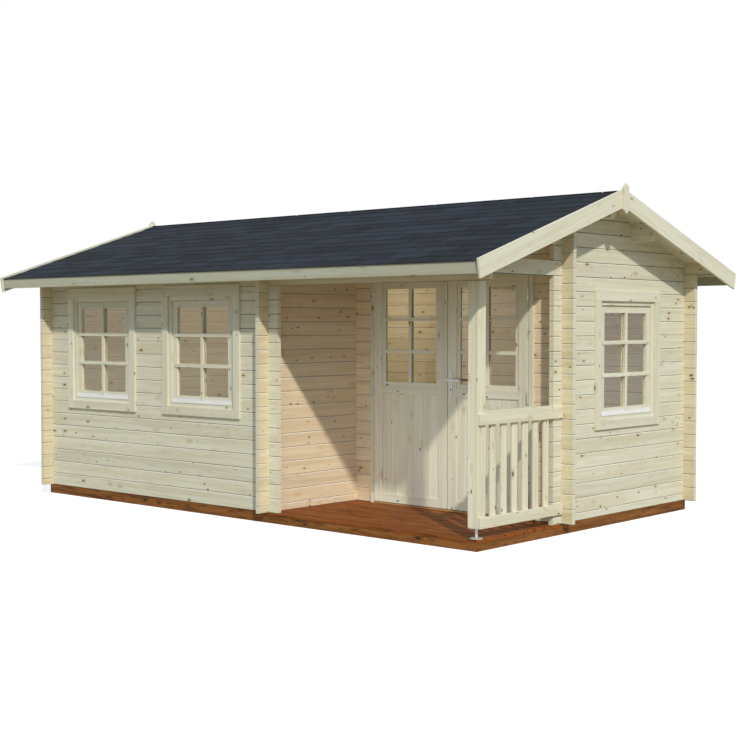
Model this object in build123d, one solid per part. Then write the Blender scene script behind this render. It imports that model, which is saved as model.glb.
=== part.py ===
from build123d import *
from math import ceil, cos, floor, radians, tan
import os

# A garden log cabin with a corner porch. All sizes are in millimetres. X runs along the ridge,
# Y from the porch side to the back, and Z up. The origin is on the ground, below the middle.
# Heights that are named as "above the base" count from the top of the base frame.

# Plan of the log walls, from outer face to outer face
length = 5090.0
depth = 2970.0
porch_length = 2102.0
porch_depth = 1050.0

# How far a cutting shape reaches past the faces that it cuts
past = 1.0

# Wall logs: chamfered along their outer edges, half lapped where two walls cross
log_height = 114.0
log_thickness = 40.0
log_bevel = 5.0
log_end = 104.0
lap_gap = 0.2

# Base frame, room floor and porch deck
base_height = 83.0
bearer_width = 60.0
joist_width = 45.0
joist_spacing = 520.0
floor_thickness = 26.0
floor_gap = 5.0
deck_board_width = 111.0
deck_board_gap = 6.0

# Roof: two sloping slabs of boards under a covering that laps over the eave boards
eave_height = 2032.0
roof_pitch = 18.0
roof_board_thickness = 18.0
covering_thickness = 6.0
covering_overhang = 8.0
gable_overhang = 280.0
eave_overhang = 330.0
eave_board_height = 88.0
eave_board_thickness = 20.0

# Bargeboards at the two gables, with a pointed board over the joint at the ridge
barge_width = 135.0
barge_thickness = 20.0
barge_rise = 15.0
barge_end_past_eave = 26.0
barge_end_slant = 23.0
finial_width = 75.0
finial_thickness = 18.0
finial_point = 32.0
finial_above = 41.0
finial_below = 54.0

# Purlins
ridge_purlin_width = 60.0
ridge_purlin_height = 178.0
side_purlin_width = 60.0
side_purlin_height = 146.0
purlin_before_door_wall = 132.0
nose_slope = 30.0

# Porch post, its steel foot and the railing
post_size = 90.0
post_setback = 10.0
post_bottom = 78.0
foot_plate_diameter = 95.0
foot_plate_thickness = 5.0
foot_rod_diameter = 20.0
foot_cap_size = 80.0
foot_sides = 24
rail_thickness = 22.0
lower_rail_bottom = 76.0
lower_rail_height = 81.0
upper_rail_bottom = 808.0
upper_rail_height = 78.0
inner_rail_bottom = 826.0
slat_width = 65.0
slat_thickness = 20.0
slat_pitch = 133.0
slat_end_lap = 12.0
railing_end_gap = 4.0

# Windows: casing boards outside, a frame in the wall, a sash behind them and its glass
casing_inner_width = 831.0
casing_inner_height = 942.0
casing_side = 76.0
casing_bottom = 74.0
casing_top = 92.0
casing_thickness = 20.0
frame_visible = 35.0
frame_behind_casing = 20.0
frame_depth = 60.0
frame_stop = 12.0
frame_to_wall_gap = 2.0
sash_gap = 2.0
sash_border = 56.0
sash_thickness = 34.0
glass_thickness = 5.0
glass_in_groove = 9.0
seat_gap = 0.3
front_window_shares = (0.27108, 0.72657)
front_window_sill = 740.0
gable_window_centre = 2000.0
gable_window_sill = 686.0

# Double door in the porch's back wall
door_off_centre = 13.0
leaf_width = 789.5
leaf_height = 1914.0
leaf_thickness = 40.0
leaf_gap = 5.0
meeting_gap = 7.0
threshold_height = 11.0
jamb_thickness = 21.0
jamb_inside_overhang = 6.0
architrave_width = 37.0
architrave_thickness = 22.0
door_stop = 14.0
leaf_border = 90.0
leaf_bottom_rail = 72.0
panel_height = 843.0
lock_rail_height = 70.0
leaf_top_rail = 81.0
panel_recess = 9.0
glazing_bead = 35.0
bead_recess = 8.0

# Door fittings
hinge_diameter = 16.0
hinge_half_height = 44.0
hinge_half_gap = 1.0
hinge_heights = (153.0, 950.0, 1750.0)
lock_plate_width = 30.0
lock_plate_height = 219.0
lock_plate_thickness = 6.0
lock_plate_bottom = 929.0
lock_from_meeting_edge = 37.0
lever_height = 1067.0
lever_neck_diameter = 18.0
lever_neck_length = 34.0
lever_bar_height = 18.0
lever_bar_thickness = 13.0
lever_length = 115.0

# Lines that several pieces share
left_x = -length / 2
right_x = length / 2
front_y = -depth / 2
back_y = depth / 2
room_length = length - porch_length
recess_x = left_x + room_length
porch_y = front_y + porch_depth
slope = tan(radians(roof_pitch))

# The last whole log of the long walls. The gable header, half a log higher, runs out past the
# wall and has to stay under the roof there.
under_log_end = eave_height - slope * log_end
plate_course = floor((under_log_end - log_height / 2) / log_height)
beam_course = plate_course - 1
side_purlin_offset = purlin_before_door_wall + side_purlin_width / 2 - porch_y
ridge_height = eave_height + slope * depth / 2
top_course = ceil(ridge_height / log_height) + 1
barge_inner_x = right_x + gable_overhang - barge_thickness
eave_inner_y = depth / 2 + eave_overhang - eave_board_thickness


def box(x0, x1, y0, y1, z0, z1):
    return Pos((x0 + x1) / 2, (y0 + y1) / 2, (z0 + z1) / 2) * Box(x1 - x0, y1 - y0, z1 - z0)


def above_base(height):
    return base_height + height


def joint(course):
    return above_base(course * log_height)


def roof_underside(y):
    return above_base(ridge_height - slope * abs(y))


def along_x(points, x0, x1):
    """A flat outline in Y and Z, drawn out along X."""
    return extrude(Plane.YZ.offset(x0) * make_face(Polyline(*points, close=True)), x1 - x0)


def along_y(points, y0, y1):
    """A flat outline in X and Z, drawn out along Y."""
    return extrude(Plane.XZ.offset(-y0) * make_face(Polyline(*points, close=True)), y0 - y1)


def below_roof():
    """All the space under the roof, used to cut logs and purlins to its slope."""
    far_y = depth
    far_x = length
    outline = [(-far_y, 0), (far_y, 0), (far_y, roof_underside(far_y)), (0, roof_underside(0)),
               (-far_y, roof_underside(far_y))]
    return along_x(outline, -far_x, far_x)


under_roof = below_roof()


def log_outline(near, outward, low, high, joint_shift):
    """Section of stacked logs. On the wall's outer side every log has its two long edges
    chamfered. outward is 1 where that side is the far one, and -1 where it is the near one."""
    middle = near + log_thickness / 2
    face = middle + outward * log_thickness / 2
    groove = face - outward * log_bevel
    inner_face = middle - outward * log_thickness / 2
    between = [k + joint_shift for k in range(top_course + 1) if low < k + joint_shift < high]
    edges = [joint(course) for course in [low] + between + [high]]
    outline = [(inner_face, edges[-1]), (inner_face, edges[0]), (groove, edges[0])]
    for bottom, top in zip(edges, edges[1:]):
        outline += [(face, bottom + log_bevel), (face, top - log_bevel), (groove, top)]
    return outline


def logs_along_x(x0, x1, y_face, outward, low, high):
    """Long walls start with a whole log, so their joints are at whole courses."""
    return along_x(log_outline(y_face, outward, low, high, 0), x0, x1)


def logs_along_y(x_face, outward, y0, y1, low, high):
    """Gable walls start with half a log, so their joints are half a course higher."""
    return along_y(log_outline(x_face, outward, low, high, 0.5), y0, y1)


def laps(x_face, y_face, joint_shift, low, high):
    """The notches that one wall gives another where they cross: a quarter log above and below
    each of its own joints. The neck that is left fits between two necks of the other wall."""
    side = lap_gap if joint_shift == 0 else past
    ahead = past if joint_shift == 0 else lap_gap
    reach = log_height / 4 + lap_gap / 2
    notches = []
    for k in range(low, high + 1):
        height = joint(k + joint_shift)
        notches.append(box(x_face - side, x_face + log_thickness + side,
                           y_face - ahead, y_face + log_thickness + ahead,
                           height - reach, height + reach))
    return notches


def cut_to_roof(solid):
    return solid & under_roof


# Faces where the walls stand
left_wall_x = left_x
recess_wall_x = recess_x - log_thickness
right_wall_x = right_x - log_thickness
front_wall_y = front_y
door_wall_y = porch_y
back_wall_y = back_y - log_thickness


def side_purlin_box(sign, gap):
    """The purlin half way down one roof side, up to the ridge's height. A gap makes it the
    seat that the walls get for it."""
    inner = side_purlin_offset - side_purlin_width / 2
    bottom = roof_underside(inner) - side_purlin_height
    y_a = sign * inner
    y_b = sign * (inner + side_purlin_width)
    return box(-barge_inner_x, barge_inner_x, min(y_a, y_b) - gap, max(y_a, y_b) + gap,
               bottom - gap, roof_underside(0))


def ridge_purlin_box(gap):
    return box(-barge_inner_x, barge_inner_x, -ridge_purlin_width / 2 - gap,
               ridge_purlin_width / 2 + gap, roof_underside(0) - ridge_purlin_height - gap,
               roof_underside(0))


def wall_opening(width, sill, height):
    """A hole for a window, in the window's own frame: X across, Y inwards, Z up."""
    return box(-width / 2, width / 2, -casing_thickness, log_thickness + casing_thickness,
               sill, sill + height)


# Window sizes that follow from the casing
window_frame_width = casing_inner_width + 2 * frame_behind_casing
window_frame_height = casing_inner_height + 2 * frame_behind_casing
window_frame_bottom = casing_bottom - frame_behind_casing
sash_width = casing_inner_width - 2 * frame_visible - 2 * sash_gap
sash_height = casing_inner_height - 2 * frame_visible - 2 * sash_gap
sash_bottom = casing_bottom + frame_visible + sash_gap


def ring(width, height, bottom, left, right, low, high, y0, y1):
    """A rectangular frame whose four borders have their own widths."""
    outer = box(-width / 2, width / 2, y0, y1, bottom, bottom + height)
    hole = box(left - width / 2, width / 2 - right, y0 - past, y1 + past,
               bottom + low, bottom + height - high)
    return outer - hole


def window_casing():
    width = casing_inner_width + 2 * casing_side
    height = casing_bottom + casing_inner_height + casing_top
    return ring(width, height, 0, casing_side, casing_side, casing_bottom, casing_top,
                -casing_thickness, 0)


def window_frame():
    """The frame lines the wall's opening, with a stop behind the sash."""
    border = frame_behind_casing + frame_visible
    body = ring(window_frame_width, window_frame_height, window_frame_bottom,
                border, border, border, border, 0, frame_depth)
    stop_border = border + frame_stop
    stop_front = frame_depth - frame_stop
    stop = ring(window_frame_width, window_frame_height, window_frame_bottom,
                stop_border, stop_border, stop_border, stop_border, stop_front, frame_depth)
    return body + stop


sash_back_y = frame_depth - frame_stop - seat_gap
glass_front_y = sash_back_y - sash_thickness / 2 - glass_thickness / 2


def window_glass(grow):
    border = sash_border - glass_in_groove - grow
    return box(border - sash_width / 2, sash_width / 2 - border,
               glass_front_y - grow, glass_front_y + glass_thickness + grow,
               sash_bottom + border, sash_bottom + sash_height - border)


def window_sash():
    body = ring(sash_width, sash_height, sash_bottom, sash_border, sash_border,
                sash_border, sash_border, sash_back_y - sash_thickness, sash_back_y)
    return body - window_glass(seat_gap)


def front_window_places():
    return [Pos(left_x + share * room_length, front_y, above_base(front_window_sill))
            for share in front_window_shares]


def gable_window_place():
    """The gable window looks along +X, so it is turned a quarter turn."""
    return Pos(right_x, front_y + gable_window_centre, above_base(gable_window_sill)) * Rot(Z=90)


window_hole = wall_opening(window_frame_width + 2 * frame_to_wall_gap,
                           window_frame_bottom - frame_to_wall_gap,
                           window_frame_height + 2 * frame_to_wall_gap)

# Door sizes: the leaves swing out over the deck, flush with the architrave's face
door_x = recess_x + (porch_length - log_thickness) / 2 - door_off_centre
door_inner_half = meeting_gap / 2 + leaf_width + leaf_gap
leaf_bottom = above_base(threshold_height + leaf_gap)
leaf_top = leaf_bottom + leaf_height
door_head = leaf_top + leaf_gap
door_face_y = porch_y - architrave_thickness
leaf_back_y = door_face_y + leaf_thickness
jamb_back_y = porch_y + log_thickness + jamb_inside_overhang
opening_half = door_inner_half + jamb_thickness + frame_to_wall_gap
opening_top = door_head + jamb_thickness + frame_to_wall_gap
course_over_door = floor((opening_top - base_height) / log_height)
hinge_axis_y = door_face_y - hinge_diameter / 2 - seat_gap
hinge_axis_half = door_inner_half - leaf_gap / 2


def doorway():
    return box(door_x - opening_half, door_x + opening_half, porch_y - past,
               porch_y + log_thickness + past, base_height - past, opening_top)


def base_frame():
    """Bearers under every wall, joists between them, and a lower part that carries the deck."""
    body = box(left_x, right_x, front_y, back_y, 0, base_height)
    body -= box(left_x + bearer_width, right_x - bearer_width, front_y + bearer_width,
                back_y - bearer_width, -past, base_height + past)
    body += box(recess_x - bearer_width, recess_x, front_y, porch_y + bearer_width, 0, base_height)
    body += box(recess_x - bearer_width, right_x, porch_y, porch_y + bearer_width, 0, base_height)
    bays = ceil((length - 2 * bearer_width) / joist_spacing)
    pitch = (length - 2 * bearer_width) / bays
    joist_top = base_height - floor_thickness
    for k in range(1, bays):
        x = left_x + bearer_width + k * pitch
        body += box(x - joist_width / 2, x + joist_width / 2, front_y, back_y, 0, joist_top)
    return body - box(recess_x, right_x + past, front_y - past, porch_y, joist_top,
                      base_height + past)


def room_floor():
    """One floor around the porch, set between the bearers and lying on the joists."""
    inset = bearer_width + floor_gap
    outer = box(left_x + inset, right_x - inset, front_y + inset, back_y - inset,
                base_height - floor_thickness, base_height)
    return outer - box(recess_x - inset, right_x, front_y, porch_y + inset, 0,
                       base_height + past)


def porch_deck():
    """Boards along the porch, the last one ripped to fit against the door wall."""
    boards = []
    y = front_y
    end = porch_y - floor_gap
    while y < end - deck_board_gap:
        boards.append(box(recess_x, right_x, y, min(y + deck_board_width, end),
                          base_height - floor_thickness, base_height))
        y += deck_board_width + deck_board_gap
    return Compound(boards)


def front_wall():
    wall = logs_along_x(left_x - log_end, recess_x + log_end, front_wall_y, -1, 0, beam_course)
    wall -= laps(left_wall_x, front_wall_y, 0, 0, plate_course)
    wall -= laps(recess_wall_x, front_wall_y, 0, 0, plate_course)
    for place in front_window_places():
        wall -= place * window_hole
    return wall


def front_beam():
    """The two upper logs of the front run on over the porch; the top one carries the eave
    and reaches the bargeboards."""
    beam = logs_along_x(left_x - log_end, right_x + log_end, front_wall_y, -1,
                        beam_course, plate_course)
    beam += logs_along_x(-barge_inner_x, barge_inner_x, front_wall_y, -1,
                         plate_course, top_course)
    beam -= laps(left_wall_x, front_wall_y, 0, beam_course, plate_course)
    beam -= laps(recess_wall_x, front_wall_y, 0, beam_course, plate_course)
    beam -= laps(right_wall_x, front_wall_y, 0, plate_course, plate_course)
    return cut_to_roof(beam)


def back_wall():
    wall = logs_along_x(left_x - log_end, right_x + log_end, back_wall_y, 1, 0, plate_course)
    wall += logs_along_x(-barge_inner_x, barge_inner_x, back_wall_y, 1,
                         plate_course, top_course)
    wall -= laps(left_wall_x, back_wall_y, 0, 0, plate_course)
    wall -= laps(right_wall_x, back_wall_y, 0, 0, plate_course)
    return cut_to_roof(wall)


def purlin_seats(wall):
    for seat in (side_purlin_box(-1, lap_gap), side_purlin_box(1, lap_gap),
                 ridge_purlin_box(lap_gap)):
        wall -= seat
    return wall


# Course numbers where a gable wall changes: its header and the logs of its triangle
header_low = plate_course - 0.5
header_high = plate_course + 0.5


def left_gable_wall():
    wall = logs_along_y(left_wall_x, -1, front_y - log_end, back_y + log_end, 0, header_high)
    wall += logs_along_y(left_wall_x, -1, front_y + log_thickness + lap_gap,
                         back_wall_y - lap_gap, header_high, top_course + 0.5)
    wall -= laps(left_wall_x, front_wall_y, 0.5, 0, plate_course)
    wall -= laps(left_wall_x, back_wall_y, 0.5, 0, plate_course)
    return cut_to_roof(purlin_seats(wall))


def right_gable_wall():
    wall = logs_along_y(right_wall_x, 1, porch_y - log_end, back_y + log_end, 0, header_low)
    wall -= laps(right_wall_x, door_wall_y, 0.5, 0, plate_course)
    wall -= laps(right_wall_x, back_wall_y, 0.5, 0, plate_course)
    return wall - gable_window_place() * window_hole


def gable_header():
    """One log from the back wall to the front, open to the porch below it and above it."""
    log = logs_along_y(right_wall_x, 1, front_y - log_end, back_y + log_end,
                       header_low, header_high)
    for y_face in (front_wall_y, door_wall_y, back_wall_y):
        log -= laps(right_wall_x, y_face, 0.5, beam_course, plate_course)
    return log


def right_gable_top():
    """The gable's triangle. Over the porch its second log reaches out under the front purlin,
    with a nose that is cut back below."""
    nose_y = -side_purlin_offset - side_purlin_width / 2 - log_end
    wall_end_y = porch_y - log_end
    nose_joint = joint(header_high + 1)
    rise = (wall_end_y - nose_y + past) * tan(radians(nose_slope))
    wall = logs_along_y(right_wall_x, 1, nose_y, back_wall_y - lap_gap,
                        header_high, top_course + 0.5)
    below_nose = [(nose_y - past, joint(header_high) - past),
                  (wall_end_y, joint(header_high) - past),
                  (wall_end_y, nose_joint), (nose_y - past, nose_joint + rise)]
    wall -= along_x(below_nose, right_wall_x - past, right_x + past)
    wall -= laps(right_wall_x, door_wall_y, 0.5, plate_course, top_course)
    return cut_to_roof(purlin_seats(wall))


def recess_side_wall():
    """The wall beside the porch. It ends just inside the room, past the door wall."""
    end_y = porch_y + log_thickness + log_end
    wall = logs_along_y(recess_wall_x, 1, front_y - log_end, end_y, 0, header_high)
    wall += logs_along_y(recess_wall_x, 1, front_y + log_thickness + lap_gap, end_y,
                         header_high, top_course + 0.5)
    wall -= laps(recess_wall_x, front_wall_y, 0.5, 0, plate_course)
    wall -= laps(recess_wall_x, door_wall_y, 0.5, 0, top_course)
    return cut_to_roof(purlin_seats(wall))


def door_wall(low, high):
    wall = logs_along_x(recess_wall_x - log_end, right_x + log_end, door_wall_y, -1, low, high)
    wall -= laps(recess_wall_x, door_wall_y, 0, 0, top_course)
    wall -= laps(right_wall_x, door_wall_y, 0, 0, top_course)
    return cut_to_roof(wall - doorway())


def door_wall_sides():
    sides = door_wall(0, course_over_door).solids().sort_by(Axis.X)
    return sides[0], sides[-1]


def roof_slab(sign):
    """One side of the roof: boards up to the eave board, and a covering that laps over it."""
    board = roof_board_thickness / cos(radians(roof_pitch))
    cover = covering_thickness / cos(radians(roof_pitch))
    cover_y = eave_inner_y + eave_board_thickness + covering_overhang
    outline = [(0, roof_underside(0)), (eave_inner_y, roof_underside(eave_inner_y)),
               (eave_inner_y, roof_underside(eave_inner_y) + board),
               (cover_y, roof_underside(cover_y) + board),
               (cover_y, roof_underside(cover_y) + board + cover),
               (0, roof_underside(0) + board + cover)]
    return along_x([(sign * y, z) for y, z in outline], -barge_inner_x, barge_inner_x)


def eave_board(sign):
    """The board along the eave, its top planed to the roof's slope."""
    board = roof_board_thickness / cos(radians(roof_pitch))
    outer_y = eave_inner_y + eave_board_thickness
    top = roof_underside(outer_y) + board
    outline = [(eave_inner_y, top - eave_board_height), (outer_y, top - eave_board_height),
               (outer_y, top), (eave_inner_y, roof_underside(eave_inner_y) + board)]
    return along_x([(sign * y, z) for y, z in outline], -barge_inner_x, barge_inner_x)


roof_thickness = (roof_board_thickness + covering_thickness) / cos(radians(roof_pitch))
barge_drop = barge_width / cos(radians(roof_pitch))
barge_peak = roof_underside(0) + roof_thickness + barge_rise


def bargeboard(side, sign):
    """One sloping board, with a plumb joint at the ridge and a slanted lower end."""
    top_y = depth / 2 + eave_overhang + barge_end_past_eave
    bottom_y = top_y - barge_end_slant
    outline = [(0, barge_peak), (top_y, barge_peak - slope * top_y),
               (bottom_y, barge_peak - barge_drop - slope * bottom_y), (0, barge_peak - barge_drop)]
    x0 = barge_inner_x if side > 0 else -barge_inner_x - barge_thickness
    return along_x([(sign * y, z) for y, z in outline], x0, x0 + barge_thickness)


def finial(side):
    """A board with a point at both ends, over the joint of two bargeboards."""
    half = finial_width / 2
    top = barge_peak + finial_above
    bottom = barge_peak - barge_drop - finial_below
    outline = [(0, top), (half, top - finial_point), (half, bottom + finial_point), (0, bottom),
               (-half, bottom + finial_point), (-half, top - finial_point)]
    outer = barge_inner_x + barge_thickness
    x0 = outer if side > 0 else -outer - finial_thickness
    return along_x(outline, x0, x0 + finial_thickness)


# The post stands in the corner, flush with the gable and set back from the front
post_x = right_x - post_size / 2
post_y = front_y + post_setback + post_size / 2
post_back_y = front_y + post_setback + post_size


def porch_post():
    return box(post_x - post_size / 2, post_x + post_size / 2, post_y - post_size / 2,
               post_y + post_size / 2, above_base(post_bottom), joint(beam_course))


def post_foot():
    """A plate on the deck, a rod, and a square plate under the post. Plate and rod are round,
    but drawn with flat sides, which keeps their faces few."""
    plate = RegularPolygon(foot_plate_diameter / 2, foot_sides)
    rod = RegularPolygon(foot_rod_diameter / 2, foot_sides)
    cap = Rectangle(foot_cap_size, foot_cap_size)
    foot = extrude(plate, foot_plate_thickness)
    foot += extrude(rod, post_bottom - foot_plate_thickness)
    foot += Pos(0, 0, post_bottom - foot_plate_thickness) * extrude(cap, foot_plate_thickness)
    return Pos(post_x, post_y, base_height) * foot


def porch_railing():
    """Two rails outside the slats, and one inside them between the post and the wall."""
    wall_end_y = porch_y - log_end
    rail_y0 = front_y + post_setback
    rail_y1 = porch_y - railing_end_gap
    outer_x = right_x + rail_thickness
    upper_top = above_base(upper_rail_bottom + upper_rail_height)
    lower_bottom = above_base(lower_rail_bottom)
    railing = box(right_x, outer_x, rail_y0, rail_y1,
                  above_base(upper_rail_bottom), upper_top)
    railing += box(right_x, outer_x, rail_y0, rail_y1,
                   lower_bottom, lower_bottom + lower_rail_height)
    inner_bottom = above_base(inner_rail_bottom)
    inner_x = right_x - slat_thickness
    railing += box(inner_x - rail_thickness, inner_x, post_back_y, wall_end_y,
                   inner_bottom, inner_bottom + upper_rail_height)
    count = floor((wall_end_y - post_back_y) / slat_pitch)
    middle = (post_back_y + wall_end_y) / 2
    for k in range(count):
        y = middle + (k - (count - 1) / 2) * slat_pitch
        railing += box(inner_x, right_x, y - slat_width / 2, y + slat_width / 2,
                       lower_bottom + slat_end_lap, upper_top - slat_end_lap)
    return railing


def door_frame():
    """Jambs and head with a stop behind the leaves, an architrave outside and a threshold."""
    def three_sided(half, top, border, y0, y1):
        outer = box(-half - border, half + border, y0, y1, base_height, top + border)
        return outer - box(-half, half, y0 - past, y1 + past, base_height - past, top)

    frame = three_sided(door_inner_half, door_head, architrave_width, door_face_y, porch_y)
    frame += three_sided(door_inner_half, door_head, jamb_thickness, porch_y, jamb_back_y)
    frame += three_sided(door_inner_half - door_stop, door_head - door_stop, door_stop,
                         leaf_back_y + leaf_gap, jamb_back_y)
    frame += box(-door_inner_half, door_inner_half, door_face_y, jamb_back_y,
                 base_height, above_base(threshold_height))
    return Pos(door_x, 0, 0) * frame


glazing_bottom = leaf_bottom + leaf_bottom_rail + panel_height + lock_rail_height
glazing_top = leaf_top - leaf_top_rail


def leaf_glass(grow):
    """Glass of one leaf, in the leaf's own frame: X from its left edge."""
    border = leaf_border + glazing_bead - glass_in_groove - grow
    middle_y = (door_face_y + leaf_back_y) / 2
    return box(border, leaf_width - border, middle_y - glass_thickness / 2 - grow,
               middle_y + glass_thickness / 2 + grow,
               glazing_bottom + border - leaf_border, glazing_top - border + leaf_border)


def door_leaf():
    """One leaf: stiles and rails, a sunk lower panel and a glazed upper part with beads."""
    leaf = box(0, leaf_width, door_face_y, leaf_back_y, leaf_bottom, leaf_top)
    panel_bottom = leaf_bottom + leaf_bottom_rail
    for y0, y1 in ((door_face_y - past, door_face_y + panel_recess),
                   (leaf_back_y - panel_recess, leaf_back_y + past)):
        leaf -= box(leaf_border, leaf_width - leaf_border, y0, y1,
                    panel_bottom, panel_bottom + panel_height)
    for y0, y1 in ((door_face_y - past, door_face_y + bead_recess),
                   (leaf_back_y - bead_recess, leaf_back_y + past)):
        leaf -= box(leaf_border, leaf_width - leaf_border, y0, y1, glazing_bottom, glazing_top)
    inner = leaf_border + glazing_bead
    leaf -= box(inner, leaf_width - inner, door_face_y - past, leaf_back_y + past,
                glazing_bottom + glazing_bead, glazing_top - glazing_bead)
    return leaf - leaf_glass(seat_gap)


left_leaf_place = Pos(door_x - door_inner_half + leaf_gap, 0, 0)
right_leaf_place = Pos(door_x + meeting_gap / 2, 0, 0)


def hinge_halves(sides, upper):
    """Round hinge barrels in front of the joint between jamb and leaf. The upper half turns
    with the leaf, the lower half stays on the jamb."""
    barrels = []
    for side in sides:
        for height in hinge_heights:
            low = above_base(height) + hinge_half_gap / 2
            if not upper:
                low = above_base(height) - hinge_half_gap / 2 - hinge_half_height
            place = Pos(door_x + side * hinge_axis_half, hinge_axis_y, low + hinge_half_height / 2)
            barrels.append(place * Cylinder(hinge_diameter / 2, hinge_half_height))
    return Compound(barrels)


lock_x = door_x + meeting_gap / 2 + lock_from_meeting_edge


def lock_plates():
    """A long plate with round ends on each face of the right leaf."""
    straight = lock_plate_height - lock_plate_width
    middle = above_base(lock_plate_bottom + lock_plate_height / 2)
    outline = SlotCenterToCenter(straight, lock_plate_width, rotation=90)
    outer = extrude(Plane.XZ.offset(-door_face_y) * outline, lock_plate_thickness)
    inner = extrude(Plane.XZ.offset(-leaf_back_y) * outline, -lock_plate_thickness)
    return Compound([Pos(lock_x, 0, middle) * outer, Pos(lock_x, 0, middle) * inner])


def lever(side):
    """A round neck out of the plate, and a bar with round ends that turns off to the hinges."""
    face = door_face_y if side < 0 else leaf_back_y
    start = face + side * (lock_plate_thickness + seat_gap)
    tip = start + side * lever_neck_length
    neck = Pos(0, (start + tip) / 2, 0) * Rot(X=90) * Cylinder(lever_neck_diameter / 2,
                                                               lever_neck_length)
    bar = extrude(Plane.XZ.offset(-tip) * SlotCenterToCenter(lever_length, lever_bar_height),
                  -side * lever_bar_thickness)
    return Pos(lock_x, 0, above_base(lever_height)) * (neck + Pos(lever_length / 2, 0, 0) * bar)


def write_all():
    left_side, right_side = door_wall_sides()
    side_purlin_front = cut_to_roof(side_purlin_box(-1, 0))
    side_purlin_back = cut_to_roof(side_purlin_box(1, 0))
    nodes = {
        "base_frame": base_frame(),
        "room_floor": room_floor(),
        "porch_deck": porch_deck(),
        "front_wall": front_wall(),
        "front_beam": front_beam(),
        "back_wall": back_wall(),
        "left_gable_wall": left_gable_wall(),
        "right_gable_wall": right_gable_wall(),
        "gable_header": gable_header(),
        "right_gable_top": right_gable_top(),
        "recess_side_wall": recess_side_wall(),
        "door_wall_left": left_side,
        "door_wall_right": right_side,
        "door_wall_over": door_wall(course_over_door, top_course),
        "ridge_purlin": cut_to_roof(ridge_purlin_box(0)),
        "front_purlin": side_purlin_front,
        "back_purlin": side_purlin_back,
        "front_roof": roof_slab(-1),
        "back_roof": roof_slab(1),
        "front_eave_board": eave_board(-1),
        "back_eave_board": eave_board(1),
        "left_front_bargeboard": bargeboard(-1, -1),
        "left_back_bargeboard": bargeboard(-1, 1),
        "right_front_bargeboard": bargeboard(1, -1),
        "right_back_bargeboard": bargeboard(1, 1),
        "left_finial": finial(-1),
        "right_finial": finial(1),
        "porch_post": porch_post(),
        "post_foot": post_foot(),
        "porch_railing": porch_railing(),
        "front_window_casings": Compound([p * window_casing() for p in front_window_places()]),
        "front_window_frames": Compound([p * piece for p in front_window_places()
                                         for piece in (window_frame(), window_sash())]),
        "front_window_glass": Compound([p * window_glass(0) for p in front_window_places()]),
        "gable_window_casing": gable_window_place() * window_casing(),
        "gable_window_frame": Compound([gable_window_place() * piece
                                        for piece in (window_frame(), window_sash())]),
        "gable_window_glass": gable_window_place() * window_glass(0),
        "door_frame": door_frame(),
        "frame_hinges": hinge_halves((-1, 1), False),
        "left_door_leaf": left_leaf_place * door_leaf(),
        "left_door_glass": left_leaf_place * leaf_glass(0),
        "left_door_hinges": hinge_halves((-1,), True),
        "right_door_leaf": right_leaf_place * door_leaf(),
        "right_door_glass": right_leaf_place * leaf_glass(0),
        "right_door_hinges": hinge_halves((1,), True),
        "lock_plates": lock_plates(),
        "door_levers": Compound([lever(-1), lever(1)]),
    }
    os.makedirs("parts", exist_ok=True)
    for name, shape in nodes.items():
        export_step(shape, "parts/" + name + ".step")
    print("left hinge axis", door_x - hinge_axis_half, hinge_axis_y)
    print("right hinge axis", door_x + hinge_axis_half, hinge_axis_y)
    print("lever axis", lock_x, above_base(lever_height))


write_all()
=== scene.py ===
import math
import random

import bmesh
import bpy
from mathutils import Matrix, Vector


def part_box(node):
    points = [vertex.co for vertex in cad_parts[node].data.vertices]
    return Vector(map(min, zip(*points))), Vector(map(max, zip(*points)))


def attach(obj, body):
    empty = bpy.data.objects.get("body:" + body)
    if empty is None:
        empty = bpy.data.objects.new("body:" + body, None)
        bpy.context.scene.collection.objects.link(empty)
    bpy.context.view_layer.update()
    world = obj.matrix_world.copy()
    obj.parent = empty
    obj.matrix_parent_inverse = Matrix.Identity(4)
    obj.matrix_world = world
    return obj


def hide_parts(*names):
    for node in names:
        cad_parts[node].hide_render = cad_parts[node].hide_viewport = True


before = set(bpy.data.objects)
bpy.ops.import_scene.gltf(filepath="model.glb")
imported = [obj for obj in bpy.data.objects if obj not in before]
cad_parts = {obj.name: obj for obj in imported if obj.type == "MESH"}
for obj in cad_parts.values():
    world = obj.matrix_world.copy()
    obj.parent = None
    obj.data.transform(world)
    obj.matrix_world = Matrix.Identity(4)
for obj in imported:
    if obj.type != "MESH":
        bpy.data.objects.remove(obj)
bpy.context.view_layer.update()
random.seed(7)


# Camera, sun, sky and floor.
# The cabin stands in the open in plain daylight: the sun is on the right in front, fairly low,
# and throws the roof's shadow on the gable and on the wall beside the porch.

scene = bpy.context.scene
scene.view_settings.view_transform = "Standard"


def in_scene(name, data):
    """A new object in the scene."""
    made = bpy.data.objects.new(name, data)
    scene.collection.objects.link(made)
    return made


camera = in_scene("camera", bpy.data.cameras.new("camera"))
scene.camera = camera
camera.data.sensor_width = 36.0
camera.data.lens = 66.09
camera.data.clip_end = 300.0
camera.location = (8.2825, -9.0348, 1.598)
camera.rotation_euler = (math.radians(88.163), 0.0, math.radians(41.857))


def lamp(name, kind, energy, colour, comes_from=(0.0, 0.0, 1.0)):
    """A lamp whose light comes from the given side."""
    made = in_scene(name, bpy.data.lights.new(name, kind))
    made.rotation_euler = Vector(comes_from).to_track_quat("Z", "Y").to_euler()
    made.data.energy = energy
    made.data.color = colour
    return made


sun = lamp("sun", "SUN", 2.4, (1.0, 0.96, 0.885), (1.0, -0.71, 0.9))
sun.data.angle = math.radians(1.8)

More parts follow.
